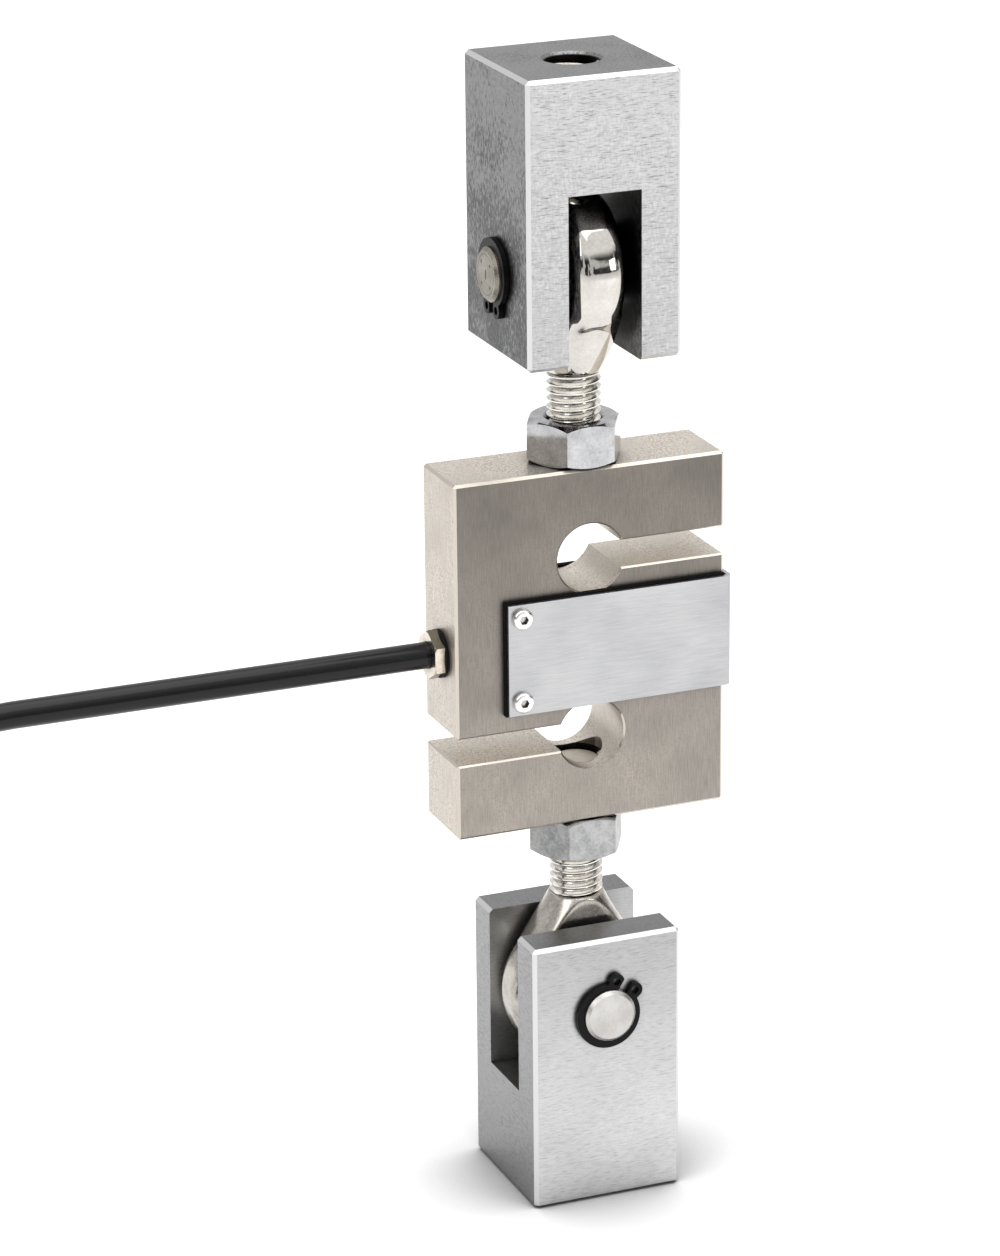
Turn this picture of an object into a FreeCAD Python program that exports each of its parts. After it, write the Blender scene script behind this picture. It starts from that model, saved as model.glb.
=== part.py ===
import FreeCAD, Part
import math
import os
from FreeCAD import Placement, Rotation, Vector

# S type load cell hung between two fork and rod-end couplings, in millimetres.
# +Z is up along the load line and -Y is the front. The origin is the mouth of
# the upper fork's threaded hole.

# load thread, shared by both rod ends, both jam nuts, both forks and the cell
threadRadius = 5.0
threadClearance = 0.05
threadMouthBevel = 0.6

# forks: square bars with a slot for the rod end
forkSide = 29.5
forkEdgeBevel = 0.7
forkSlot = 14.0
pinToForkClosedEnd = 37.7
pinToForkOpenEnd = 14.8
headToSlotCeiling = 2.25

# clevis pins and their retaining rings
pinRadius = 5.0
pinClearance = 0.05
pinEndBevel = 0.6
pinEndLand = 1.0
ringGrooveDepth = 0.2
ringThickness = 1.0
ringFaceGap = 0.1
ringGrooveSlack = 0.06
ringWidthAtBack = 1.8
ringWidthAtEars = 1.2
ringEarReach = 3.3
ringEarRadius = 1.5
ringEarHoleRadius = 0.75
ringEarAngle = 19.0
ringGapWidth = 2.0

# rod ends: eye with a ball in a thin race, neck and threaded shank
ballRadius = 9.525
ballSideClearance = 0.1
ballClearance = 0.05
raceThickness = 0.45
raceSetback = 0.25
eyeOuterRadius = 14.25
eyeThickness = 10.5
neckTopDepth = 7.0
neckTopRadius = 12.0
neckEndDepth = 19.5
eyeToCell = 36.0
shankEndShort = 0.8
shankEndBevel = 0.8

# jam nuts
nutAcrossFlats = 16.0
nutHeight = 8.0
nutChamferAngle = 30.0
nutFaceRing = 0.2

# cell body: S shaped block
cellWidth = 53.0
cellThickness = 15.4
cellHeight = 68.0
cellEdgeBevel = 0.5
slotHeight = 5.2
slotFromCentre = 17.0
slotHoleRadius = 6.5
slotEdgeBevel = 0.3

# gauge room in the middle of the cell
gaugePocketRadius = 8.5
gaugeWeb = 2.5
wireWindowToRight = 14.5
wireWindowWidth = 9.5
wireWindowHeight = 11.0
wireGrooveHeight = 5.0
wireGrooveFloor = 2.5
cableBoreRadius = 2.6
boreToPocket = 0.3

# strain gauges, terminal board and inner leads
gaugeSize = 9.0
gaugeThickness = 0.15
boardClearance = 0.1
boardThickness = 1.0
leadRadius = 0.4
leadSpread = 0.9
leadDepthInBore = 1.9
leadDepth = 3.3
leadSoldered = 3.0
pottingClearance = 0.05
pottingThickness = 3.2

# cover, gaskets and cover screws
coverLeft = -17.0
coverHeight = 21.2
sheetThickness = 0.8
sheetBendRadius = 1.4
coverSideGap = 0.1
gasketThickness = 1.2
gasketProud = 0.3
gasketBand = 2.0
gasketScrewBand = 5.6
screwInset = 2.6
screwRadius = 1.2
screwClearance = 0.05
screwHeadRadius = 1.95
screwHeadHeight = 1.2
screwHeadRound = 0.6
screwSocketAcrossFlats = 1.5
screwSocketDepth = 0.7
screwDepth = 4.0
screwTipGap = 0.5

# cable entry
cableRadius = 2.5
cableClearance = 0.05
glandAcrossFlats = 8.2
glandFlange = 1.9
glandFlangeBevel = 0.35
glandStemRadius = 3.3
glandStemLength = 5.0
glandStemClearance = 0.05
washerThickness = 0.7
washerRadius = 4.5
sealLength = 2.0
cableInsideLength = 8.6

# tied hank of the spare cable, and its bare end
bendShare = 0.45
hankNear = -143.0
hankLength = 115.0
hankEndWidth = 45.0
hankWaist = 20.0
hankHeight = 30.0
hankEdge = 2.2
tieThickness = 1.0
tieWidth = 8.0
tieClearance = 0.05
coreRadius = 0.75
coreSpacing = 1.6
coreLength = 34.0
coreClearance = 0.05

# places along the load line, from the upper fork's closed end downwards
eyeToSlotCeiling = eyeOuterRadius + headToSlotCeiling
upperEyeZ = -pinToForkClosedEnd
cellTopZ = upperEyeZ - eyeToCell
cellZ = cellTopZ - cellHeight / 2
cellBottomZ = cellTopZ - cellHeight
lowerEyeZ = cellBottomZ - eyeToCell
standZ = lowerEyeZ - pinToForkClosedEnd

cellRight = cellWidth / 2
cellFront = cellThickness / 2
slotHoleCrown = slotFromCentre + slotHoleRadius
sheetInner = cellFront + gasketThickness
sheetOuter = sheetInner + sheetThickness
coverRight = cellRight + coverSideGap + sheetThickness
wireWindowLeft = cellRight - wireWindowToRight
wireWindowCentre = wireWindowLeft + wireWindowWidth / 2
glandFace = -cellRight - washerThickness - glandFlange
sealLeft = -cellRight + glandStemLength
sealRight = sealLeft + sealLength
cableEndX = -cellRight + cableInsideLength
hankBottomZ = standZ + tieThickness + tieClearance
hankTopZ = hankBottomZ + hankHeight

# the hank's outline: two round ends joined by hollow sides, all arcs and all tangent
hankMiddle = hankNear - hankLength / 2
hankEndRadius = hankEndWidth / 2
hankEndReach = hankLength / 2 - hankEndRadius
hankSideRadius = (hankEndReach**2 + (hankWaist / 2) ** 2 - hankEndRadius**2) / (hankEndWidth - hankWaist)
hankSideCentre = hankWaist / 2 + hankSideRadius
hankAtTie = hankSideCentre - math.sqrt(hankSideRadius**2 - (tieWidth / 2) ** 2)
coreRow = hankEndRadius - 1.5 * 2 * cableRadius

# The cable's way out: straight left, then down in one bend to the top of the hank.
cableRoute = [
    Vector(cableEndX, 0, cellZ),
    Vector(-118, 0, cellZ),
    Vector(-136, 1, cellZ - 11),
    Vector(-145, 4, cellZ - 31),
    Vector(-150, 8.5, cellZ - 49),
    Vector(-157, 13.5, cellZ - 64),
    Vector(-169, 17.3, cellZ - 72.5),
    Vector(-184.5, 15.2, cellZ - 77),
]

alongX = Vector(1, 0, 0)
alongY = Vector(0, 1, 0)
alongZ = Vector(0, 0, 1)
sameLine = 1e-6


def box(one, other):
    """A block between two opposite corners."""
    low = Vector(min(one.x, other.x), min(one.y, other.y), min(one.z, other.z))
    size = Vector(abs(other.x - one.x), abs(other.y - one.y), abs(other.z - one.z))
    return Part.makeBox(size.x, size.y, size.z, low)


def rod(radius, start, end):
    """A round bar from one point to another."""
    return Part.makeCylinder(radius, (end - start).Length, start, end - start)


def bevelledRod(radius, start, end, bevel):
    """A round bar with both ends broken at 45 degrees."""
    along = (end - start).normalize()
    length = (end - start).Length
    middle = rod(radius, start + along * bevel, end - along * bevel)
    tips = [
        Part.makeCone(radius - bevel, radius, bevel, start, along),
        Part.makeCone(radius, radius - bevel, bevel, start + along * (length - bevel), along),
    ]
    return middle.multiFuse(tips).removeSplitter()


def mouth(radius, centre, outward, bevel):
    """The cone that breaks the edge of a hole's mouth."""
    return Part.makeCone(radius, radius + 2 * bevel, 2 * bevel, centre - outward * bevel, outward)


def prism(points, height):
    """A flat outline of straight sides, pushed along one vector."""
    return Part.Face(Part.makePolygon(points + points[:1])).extrude(height)


def hexBar(acrossFlats, start, height, cornerAngle):
    """A hexagonal bar along X or Z from its start, with one corner at an angle round it."""
    corner = acrossFlats / math.sqrt(3)
    points = []
    for i in range(6):
        a = math.radians(cornerAngle + 60 * i)
        if height.x:
            across = Vector(0, math.cos(a), math.sin(a))
        else:
            across = Vector(math.cos(a), math.sin(a), 0)
        points.append(start + across * corner)
    return prism(points, height)


def edgeBroken(shape, bevel):
    """Every edge of a block broken by a small bevel."""
    return shape.makeChamfer(bevel, shape.Edges)


def makeFork():
    """A fork, open downwards, with its pin along X at the origin."""
    half = forkSide / 2
    fork = edgeBroken(
        box(Vector(-half, -half, -pinToForkOpenEnd), Vector(half, half, pinToForkClosedEnd)),
        forkEdgeBevel,
    )
    slot = box(
        Vector(-forkSlot / 2, -forkSide, -2 * pinToForkOpenEnd),
        Vector(forkSlot / 2, forkSide, eyeToSlotCeiling),
    )
    pinHole = rod(pinRadius + pinClearance, Vector(-forkSide, 0, 0), Vector(forkSide, 0, 0))
    closedEnd = Vector(0, 0, pinToForkClosedEnd)
    thread = rod(threadRadius, Vector(0, 0, 0), closedEnd + alongZ)
    threadMouth = mouth(threadRadius, closedEnd, alongZ, threadMouthBevel)
    return fork.cut([slot, pinHole, thread, threadMouth])


def makePin():
    """A headless clevis pin along X with a ring groove at each end."""
    end = forkSide / 2 + ringFaceGap + ringThickness + pinEndLand
    pin = bevelledRod(pinRadius, Vector(-end, 0, 0), Vector(end, 0, 0), pinEndBevel)
    for side in (-1, 1):
        inner = forkSide / 2 + ringFaceGap - ringGrooveSlack / 2
        width = ringThickness + ringGrooveSlack
        start = Vector(side * inner, 0, 0)
        outer = Part.makeCylinder(2 * pinRadius, width, start, alongX * side)
        core = Part.makeCylinder(pinRadius - ringGrooveDepth, width, start, alongX * side)
        pin = pin.cut(outer.cut(core))
    return pin


def makeRing(side, gapAngle):
    """A retaining ring in the pin's groove on one side, its gap at an angle round X."""
    seat = pinRadius - ringGrooveDepth
    eccentric = (ringWidthAtBack - ringWidthAtEars) / 2
    outerRadius = seat + (ringWidthAtBack + ringWidthAtEars) / 2
    earCentre = seat + ringEarReach - ringEarRadius
    start = forkSide / 2 + ringFaceGap
    up = alongX * ringThickness
    ring = Part.makeCylinder(outerRadius, ringThickness, Vector(start, -eccentric, 0), alongX)
    ears, earHoles = [], []
    for turn in (-ringEarAngle, ringEarAngle):
        a = math.radians(turn)
        out = Vector(0, math.cos(a), math.sin(a))
        across = Vector(0, -math.sin(a), math.cos(a)) * ringEarRadius
        centre = Vector(start, 0, 0) + out * earCentre
        foot = Vector(start, 0, 0) + out * seat
        ears.append(Part.makeCylinder(ringEarRadius, ringThickness, centre, alongX))
        ears.append(prism([foot - across, foot + across, centre + across, centre - across], up))
        earHoles.append(Part.makeCylinder(ringEarHoleRadius, ringThickness, centre, alongX))
    bore = Part.makeCylinder(seat, ringThickness, Vector(start, 0, 0), alongX)
    gap = box(
        Vector(start, 0, -ringGapWidth / 2),
        Vector(start + ringThickness, seat + 2 * ringEarReach, ringGapWidth / 2),
    )
    ring = ring.multiFuse(ears).cut([bore, gap] + earHoles).removeSplitter()
    if side < 0:
        ring.rotate(Vector(0, 0, 0), alongY, 180)
    ring.rotate(Vector(0, 0, 0), alongX, gapAngle)
    return ring


def makeBall():
    """The bored ball, as wide as the fork's slot less its side clearance."""
    half = forkSlot / 2 - ballSideClearance
    slab = box(Vector(-half, -ballRadius, -ballRadius), Vector(half, ballRadius, ballRadius))
    bore = rod(pinRadius + pinClearance, Vector(-ballRadius, 0, 0), Vector(ballRadius, 0, 0))
    return Part.makeSphere(ballRadius).common(slab).cut(bore)


def raceSphere(extra):
    """The ball's sphere, grown by the running clearance and a further amount."""
    return Part.makeSphere(ballRadius + ballClearance + extra)


def makeRace():
    """The thin race between ball and eye."""
    half = eyeThickness / 2 - raceSetback
    slab = box(Vector(-half, -eyeOuterRadius, -eyeOuterRadius), Vector(half, eyeOuterRadius, eyeOuterRadius))
    return raceSphere(raceThickness).common(slab).cut(raceSphere(0))


def makeRodEnd():
    """The eye, its neck and its shank, which points down."""
    rimRadius = eyeThickness / 2
    ringRadius = eyeOuterRadius - rimRadius
    shankRadius = threadRadius - threadClearance
    shankEnd = eyeToCell + cellHeight / 2 - slotHoleCrown - shankEndShort
    rim = Part.makeTorus(ringRadius, rimRadius, Vector(0, 0, 0), alongX)
    disc = rod(ringRadius, Vector(-rimRadius, 0, 0), Vector(rimRadius, 0, 0))
    cone = Part.makeCone(
        neckTopRadius, shankRadius, neckEndDepth - neckTopDepth, Vector(0, 0, -neckTopDepth), -alongZ
    )
    slab = box(Vector(-rimRadius, -eyeOuterRadius, -eyeToCell), Vector(rimRadius, eyeOuterRadius, 0))
    shankStart = Vector(0, 0, -neckTopDepth - rimRadius)
    shank = bevelledRod(shankRadius, shankStart, Vector(0, 0, -shankEnd), shankEndBevel)
    eye = rim.multiFuse([disc, cone.common(slab), shank]).removeSplitter()
    return eye.cut(raceSphere(raceThickness + ballClearance))


def makeNut(cornerAngle):
    """A jam nut that stands on the cell's end face, both ends chamfered."""
    start = Vector(0, 0, -eyeToCell)
    end = start + alongZ * nutHeight
    corner = nutAcrossFlats / math.sqrt(3)
    faceRadius = nutAcrossFlats / 2 - nutFaceRing
    drop = (corner - faceRadius) * math.tan(math.radians(nutChamferAngle))
    nut = hexBar(nutAcrossFlats, start, alongZ * nutHeight, cornerAngle)
    turned = Part.makeCylinder(corner, nutHeight - 2 * drop, start + alongZ * drop).multiFuse(
        [
            Part.makeCone(faceRadius, corner, drop, start, alongZ),
            Part.makeCone(faceRadius, corner, drop, end, -alongZ),
        ]
    )
    cutters = [rod(threadRadius, start - alongZ, end + alongZ)]
    for centre, outward in ((start, -alongZ), (end, alongZ)):
        cutters.append(mouth(threadRadius, centre, outward, threadMouthBevel))
    return nut.common(turned).cut(cutters)


def makeSlotCutter(side):
    """The slot from one side of the cell and the hole it ends in, with their edges broken."""
    z = side * slotFromCentre
    half = slotHeight / 2
    deep = cellFront + 2 * slotEdgeBevel
    cutter = box(Vector(0, -deep, z - half), Vector(side * cellWidth, deep, z + half))
    hole = rod(slotHoleRadius, Vector(0, -deep, z), Vector(0, deep, z))
    more = [hole]
    for face in (-1, 1):
        centre = Vector(0, face * cellFront, z)
        more.append(mouth(slotHoleRadius, centre, alongY * face, slotEdgeBevel))
        inner, outer = face * (cellFront - slotEdgeBevel), face * (cellFront + slotEdgeBevel)
        wedge = [
            Vector(0, inner, z - half),
            Vector(0, outer, z - half - 2 * slotEdgeBevel),
            Vector(0, outer, z + half + 2 * slotEdgeBevel),
            Vector(0, inner, z + half),
        ]
        more.append(prism(wedge, alongX * side * cellWidth))
    inner, outer = side * (cellRight - slotEdgeBevel), side * (cellRight + slotEdgeBevel)
    wedge = [
        Vector(inner, -deep, z - half),
        Vector(outer, -deep, z - half - 2 * slotEdgeBevel),
        Vector(outer, -deep, z + half + 2 * slotEdgeBevel),
        Vector(inner, -deep, z + half),
    ]
    more.append(prism(wedge, alongY * 2 * deep))
    return cutter.multiFuse(more)


def screwPlaces():
    """The height and face of each cover screw, left of the gauge pocket."""
    x = coverLeft + screwInset
    z = coverHeight / 2 - screwInset
    return [(Vector(x, 0, level * z), face) for face in (-1, 1) for level in (1, -1)]


def makeCellBody():
    """The S block with its slots, threaded ends and gauge room, centred on the origin."""
    half = Vector(cellRight, cellFront, cellHeight / 2)
    body = edgeBroken(box(-half, half), cellEdgeBevel)
    cutters = [makeSlotCutter(1), makeSlotCutter(-1)]
    for end in (-1, 1):
        face = Vector(0, 0, end * half.z)
        cutters.append(rod(threadRadius, Vector(0, 0, end * slotFromCentre), face + alongZ * end))
        cutters.append(mouth(threadRadius, face, alongZ * end, threadMouthBevel))
    window = Vector(wireWindowWidth, cellThickness + 2, wireWindowHeight) / 2
    windowCentre = Vector(wireWindowCentre, 0, 0)
    cutters.append(box(windowCentre - window, windowCentre + window))
    for face in (-1, 1):
        web = Vector(0, face * gaugeWeb / 2, 0)
        cutters.append(Part.makeCylinder(gaugePocketRadius, cellFront, web, alongY * face))
        grooveStart = Vector(0, face * wireGrooveFloor, -wireGrooveHeight / 2)
        grooveEnd = Vector(wireWindowCentre, face * cellThickness, wireGrooveHeight / 2)
        cutters.append(box(grooveStart, grooveEnd))
    left = Vector(-cellRight, 0, 0)
    cutters.append(rod(glandStemRadius + glandStemClearance, left - alongX, Vector(sealRight, 0, 0)))
    cutters.append(rod(cableBoreRadius, left, Vector(-gaugePocketRadius + boreToPocket, 0, 0)))
    for place, face in screwPlaces():
        start = place + alongY * face * (cellFront - screwDepth)
        cutters.append(Part.makeCylinder(screwRadius + screwClearance, screwDepth + 1, start, alongY * face))
    return body.cut(cutters)


def makeScrews():
    """The button-head screws that hold the cover, one solid each."""
    screws = []
    for place, face in screwPlaces():
        out = alongY * face
        head = Part.makeCylinder(screwHeadRadius, screwHeadHeight, place + out * sheetOuter, out)
        flat = [edge for edge in head.Edges if edge.BoundBox.YLength < sameLine]
        top = [edge for edge in flat if edge.BoundBox.YMin * face > sheetOuter + sameLine]
        head = head.makeFillet(screwHeadRound, top)
        reach = sheetOuter - cellFront + screwDepth - screwTipGap
        shank = Part.makeCylinder(screwRadius, reach, place + out * (sheetOuter - reach), out)
        corner = screwSocketAcrossFlats / math.sqrt(3)
        floor = sheetOuter + screwHeadHeight - screwSocketDepth
        socket = []
        for i in range(6):
            a = math.radians(60 * i)
            socket.append(place + out * floor + Vector(math.cos(a), 0, math.sin(a)) * corner)
        screws.append(head.fuse(shank).removeSplitter().cut(prism(socket, out * 2 * screwSocketDepth)))
    return Part.makeCompound(screws)


def makeCover():
    """The folded sheet that covers the front, right side and back of the gauge room."""
    z = coverHeight / 2
    innerStart = Vector(2 * coverLeft, -sheetInner, -2 * z)
    innerEnd = Vector(cellRight + coverSideGap, sheetInner, 2 * z)
    inner = box(innerStart, innerEnd)
    outer = box(Vector(coverLeft, -sheetOuter, -z), Vector(coverRight, sheetOuter, z))
    bent = []
    for block, radius in ((outer, sheetBendRadius), (inner, sheetBendRadius - sheetThickness)):
        right = block.BoundBox.XMax
        corners = [e for e in block.Edges if e.BoundBox.XMin > right - sameLine and e.BoundBox.ZLength > z]
        bent.append(block.makeFillet(radius, corners))
    cover = bent[0].cut(bent[1])
    holes = []
    for place, face in screwPlaces():
        start = place + alongY * face * cellFront
        holes.append(Part.makeCylinder(screwRadius + screwClearance, sheetOuter, start, alongY * face))
    return cover.cut(holes)


def makeGasket(face):
    """The rubber frame under one leg of the cover."""
    z = coverHeight / 2 + gasketProud
    left = coverLeft - gasketProud
    right = cellRight - cellEdgeBevel
    gasket = box(Vector(left, face * cellFront, -z), Vector(right, face * sheetInner, z))
    openingStart = Vector(left + gasketScrewBand, 0, -z + gasketBand)
    openingEnd = Vector(right - gasketBand, face * 2 * sheetInner, z - gasketBand)
    opening = box(openingStart, openingEnd)
    holes = []
    for place, side in screwPlaces():
        if side == face:
            hole = rod(screwRadius + screwClearance, place, place + alongY * face * 2 * sheetInner)
            holes.append(hole)
    return gasket.cut([opening] + holes)


def makeGland():
    """The hexagon nipple that clamps the cable in the cell's left side."""
    start = Vector(glandFace, 0, 0)
    flange = hexBar(glandAcrossFlats, start, alongX * glandFlange, 90)
    corner = glandAcrossFlats / math.sqrt(3)
    turnedEnd = start + alongX * (glandFlange + glandFlangeBevel)
    flange = flange.common(bevelledRod(corner, start, turnedEnd, glandFlangeBevel))
    stem = rod(glandStemRadius, start + alongX * glandFlange / 2, Vector(-cellRight + glandStemLength, 0, 0))
    bore = rod(cableRadius + cableClearance, start - alongX, Vector(0, 0, 0))
    return flange.fuse(stem).removeSplitter().cut(bore)


def tube(outer, inner, left, right):
    """A plain ring round the cable's line between two stations."""
    start, end = Vector(left, 0, 0), Vector(right, 0, 0)
    return rod(outer, start, end).cut(rod(inner, start - alongX, end + alongX))


def gaugeLeads():
    """The cores from the cable's stripped end over both gauges to the terminal board."""
    wires = []
    for face in (-1, 1):
        for level in (-1, 1):
            z = level * leadSpread
            boardY = face * (boardThickness / 2 + leadRadius)
            points = [
                Vector(cableEndX, face * leadDepthInBore, z),
                Vector(-gaugePocketRadius + leadDepthInBore, face * leadDepthInBore, z),
                Vector(-gaugeSize / 3, face * leadDepth, z),
                Vector(wireWindowLeft + leadRadius, face * leadDepth, z),
                Vector(wireWindowCentre, boardY, z),
                Vector(wireWindowCentre + leadSoldered, boardY, z),
            ]
            runs = [rod(leadRadius, a, b) for a, b in zip(points, points[1:])]
            bends = [Part.makeSphere(leadRadius, p) for p in points[1:-1]]
            wires.append(runs[0].multiFuse(runs[1:] + bends).removeSplitter())
    return wires


def makeGauge(face):
    """A foil strain gauge cemented to one side of the web."""
    half = gaugeSize / 2
    web = gaugeWeb / 2
    return box(Vector(-half, face * web, -half), Vector(half, face * (web + gaugeThickness), half))


def makeBoard():
    """The terminal board across the wire window."""
    wide = wireWindowWidth - 2 * boardClearance
    high = wireWindowHeight - 2 * boardClearance
    half = Vector(wide, boardThickness, high) / 2
    centre = Vector(wireWindowCentre, 0, 0)
    return box(centre - half, centre + half)


def makePotting(face, wires):
    """The soft sealing compound over one gauge, cast round the leads."""
    start = Vector(0, face * (gaugeWeb / 2 + gaugeThickness), 0)
    cast = Part.makeCylinder(gaugePocketRadius - pottingClearance, pottingThickness, start, alongY * face)
    return cast.cut(wires)


def roundedRoute(points, radius):
    """A pipe along straight runs joined by the largest even arcs, with its length printed."""
    edges, start, length = [], points[0], 0.0
    for before, corner, after in zip(points, points[1:], points[2:]):
        back, on = before - corner, after - corner
        turn = math.pi - back.getAngle(on)
        reach = bendShare * min(back.Length, on.Length)
        bend = reach / math.tan(turn / 2)
        print(f"cable bend {math.degrees(turn):.1f} degrees, radius {bend:.1f} mm")
        a = corner + back.normalize() * reach
        b = corner + on.normalize() * reach
        inward = (back + on).normalize()
        middle = corner + inward * (bend / math.cos(turn / 2) - bend)
        edges.append(Part.makeLine(start, a))
        edges.append(Part.Arc(a, middle, b).toShape())
        length += (a - start).Length + bend * turn
        start = b
    edges.append(Part.makeLine(start, points[-1]))
    length += (points[-1] - start).Length
    wire = Part.Wire(edges)
    along = points[1] - points[0]
    profile = Part.Wire(Part.makeCircle(radius, points[0], along))
    pipe = Part.Solid(wire.makePipeShell([profile], True, False, 2).Shells[0])
    share = pipe.Volume / (math.pi * radius**2 * length)
    print(f"cable tube {length:.1f} mm long, volume over section times length {share:.5f}")
    return pipe


def hankOutline(inset, z):
    """The hank seen from above, made smaller all round by an inset."""
    tangent = math.atan2(hankSideCentre, hankEndReach)
    end = hankEndRadius - inset
    waist = hankWaist / 2 - inset
    corner = Vector(hankEndReach - end * math.cos(tangent), end * math.sin(tangent), 0)
    middle = Vector(hankMiddle, 0, z)
    edges = []
    for sx, sy in ((1, 1), (-1, -1)):
        start = middle + Vector(sx * corner.x, -sy * corner.y, 0)
        tip = middle + Vector(sx * (hankEndReach + end), 0, 0)
        stop = middle + Vector(sx * corner.x, sy * corner.y, 0)
        side = middle + Vector(0, sy * waist, 0)
        nextStart = middle + Vector(-sx * corner.x, sy * corner.y, 0)
        edges.append(Part.Arc(start, tip, stop).toShape())
        edges.append(Part.Arc(stop, side, nextStart).toShape())
    return Part.Wire(edges)


def makeHank():
    """The spare cable's tied hank as one solid of its outer shape."""
    full = Part.Face(hankOutline(0, hankBottomZ + hankEdge)).extrude(alongZ * (hankHeight - 2 * hankEdge))
    ends = []
    for z, way in ((hankBottomZ, 1), (hankTopZ, -1)):
        ends.append(Part.makeLoft([hankOutline(hankEdge, z), hankOutline(0, z + way * hankEdge)], True))
    return full.multiFuse(ends).removeSplitter()


def makeTie():
    """The strap round the hank's waist."""
    bevelGrowth = 2 - math.sqrt(2)
    blocks = []
    for grow in (tieClearance + tieThickness, tieClearance):
        y, edge = hankAtTie + grow, hankEdge + grow * bevelGrowth
        low, high = hankBottomZ - grow, hankTopZ + grow
        corners = [(-y + edge, low), (y - edge, low), (y, low + edge), (y, high - edge)]
        corners += [(y - edge, high), (-y + edge, high), (-y, high - edge), (-y, low + edge)]
        wide = tieWidth if grow > tieClearance else 2 * tieWidth
        start = hankMiddle - wide / 2
        blocks.append(prism([Vector(start, cy, cz) for cy, cz in corners], alongX * wide))
    return blocks[0].cut(blocks[1])


def makeCores():
    """The four bare cores at the cable's free end, lying in a row on top of the hank."""
    end = hankNear - hankLength
    z = hankTopZ + coreClearance + coreRadius
    cores = []
    for i in range(4):
        y = coreRow + (i - 1.5) * coreSpacing
        cores.append(rod(coreRadius, Vector(end + coreLength, y, z), Vector(end, y, z)))
    return Part.makeCompound(cores)


def build():
    """Every sub-part at its place, by its node's name."""
    nodes = {}
    ends = {
        "upper": (Placement(Vector(0, 0, upperEyeZ), Rotation()), 0, {"left": (-1, -90), "right": (1, 60)}),
        "lower": (
            Placement(Vector(0, 0, lowerEyeZ), Rotation(alongZ, 90) * Rotation(alongX, 180)),
            90,
            {"front": (-1, -58), "back": (1, 130)},
        ),
    }
    for end, (place, nutTurn, rings) in ends.items():
        pieces = {
            "fork": makeFork(),
            "pin": makePin(),
            "ball": makeBall(),
            "race": makeRace(),
            "rod_end": makeRodEnd(),
            "jam_nut": makeNut(nutTurn),
        }
        for side, (way, gapAngle) in rings.items():
            pieces["retaining_ring_" + side] = makeRing(way, gapAngle)
        for name, shape in pieces.items():
            shape.Placement = place * shape.Placement
            nodes[f"{end}_{name}"] = shape

    wires = gaugeLeads()
    stemHole = glandStemRadius + glandStemClearance
    cell = {
        "cell_body": makeCellBody(),
        "side_cover": makeCover(),
        "cover_screws": makeScrews(),
        "cable_gland": makeGland(),
        "gland_washer": tube(washerRadius, stemHole, -cellRight - washerThickness, -cellRight),
        "gland_seal": tube(glandStemRadius, cableRadius + cableClearance, sealLeft, sealRight),
        "terminal_board": makeBoard(),
        "inner_leads": Part.makeCompound(wires),
    }
    for side, face in (("front", -1), ("back", 1)):
        cell["gasket_" + side] = makeGasket(face)
        cell["strain_gauge_" + side] = makeGauge(face)
        cell["potting_" + side] = makePotting(face, wires)
    for name, shape in cell.items():
        shape.translate(Vector(0, 0, cellZ))
        nodes[name] = shape

    nodes["signal_cable"] = roundedRoute(cableRoute, cableRadius)
    nodes["cable_hank"] = makeHank()
    nodes["hank_tie"] = makeTie()
    nodes["cable_cores"] = makeCores()
    return nodes


os.makedirs("parts", exist_ok=True)
for name, shape in build().items():
    shape.exportStep(f"parts/{name}.step")
    print(f"{name}: {len(shape.Solids)} solid, valid {shape.isValid()}, {shape.Volume:.1f} mm3")
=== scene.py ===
import math

import bpy
from mathutils import Matrix, Vector


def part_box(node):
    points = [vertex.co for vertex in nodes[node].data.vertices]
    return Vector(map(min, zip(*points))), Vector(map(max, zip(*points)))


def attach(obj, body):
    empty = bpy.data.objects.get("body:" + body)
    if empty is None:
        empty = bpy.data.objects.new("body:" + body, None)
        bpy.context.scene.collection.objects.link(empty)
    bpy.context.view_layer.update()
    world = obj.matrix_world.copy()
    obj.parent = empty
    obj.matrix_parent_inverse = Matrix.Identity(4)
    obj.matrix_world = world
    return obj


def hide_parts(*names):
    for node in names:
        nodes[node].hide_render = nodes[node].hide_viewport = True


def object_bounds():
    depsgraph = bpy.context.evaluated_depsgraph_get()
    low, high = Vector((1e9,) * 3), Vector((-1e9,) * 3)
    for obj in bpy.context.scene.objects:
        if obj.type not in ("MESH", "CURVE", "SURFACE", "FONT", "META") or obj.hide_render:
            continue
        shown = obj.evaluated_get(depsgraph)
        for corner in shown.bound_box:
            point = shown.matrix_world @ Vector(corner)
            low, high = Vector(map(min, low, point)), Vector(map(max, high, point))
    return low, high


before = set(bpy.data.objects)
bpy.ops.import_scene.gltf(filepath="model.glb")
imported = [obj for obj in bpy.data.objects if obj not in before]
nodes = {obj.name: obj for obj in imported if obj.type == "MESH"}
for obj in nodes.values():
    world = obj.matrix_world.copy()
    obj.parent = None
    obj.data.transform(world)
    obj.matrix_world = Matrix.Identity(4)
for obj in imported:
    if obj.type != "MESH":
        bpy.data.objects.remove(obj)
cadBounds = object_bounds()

# S type load cell between two fork and rod-end couplings. Metres, +Z up, -Y is the front.
mm = 0.001


def middle(node):
    low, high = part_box(node)
    return (low + high) / 2


cellCentre = middle("cell_body")
upperEye = middle("upper_pin")
lowerEye = middle("lower_pin")


def deselect():
    bpy.ops.object.select_all(action="DESELECT")


def pick(obj):
    deselect()
    obj.select_set(True)
    bpy.context.view_layer.objects.active = obj


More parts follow.
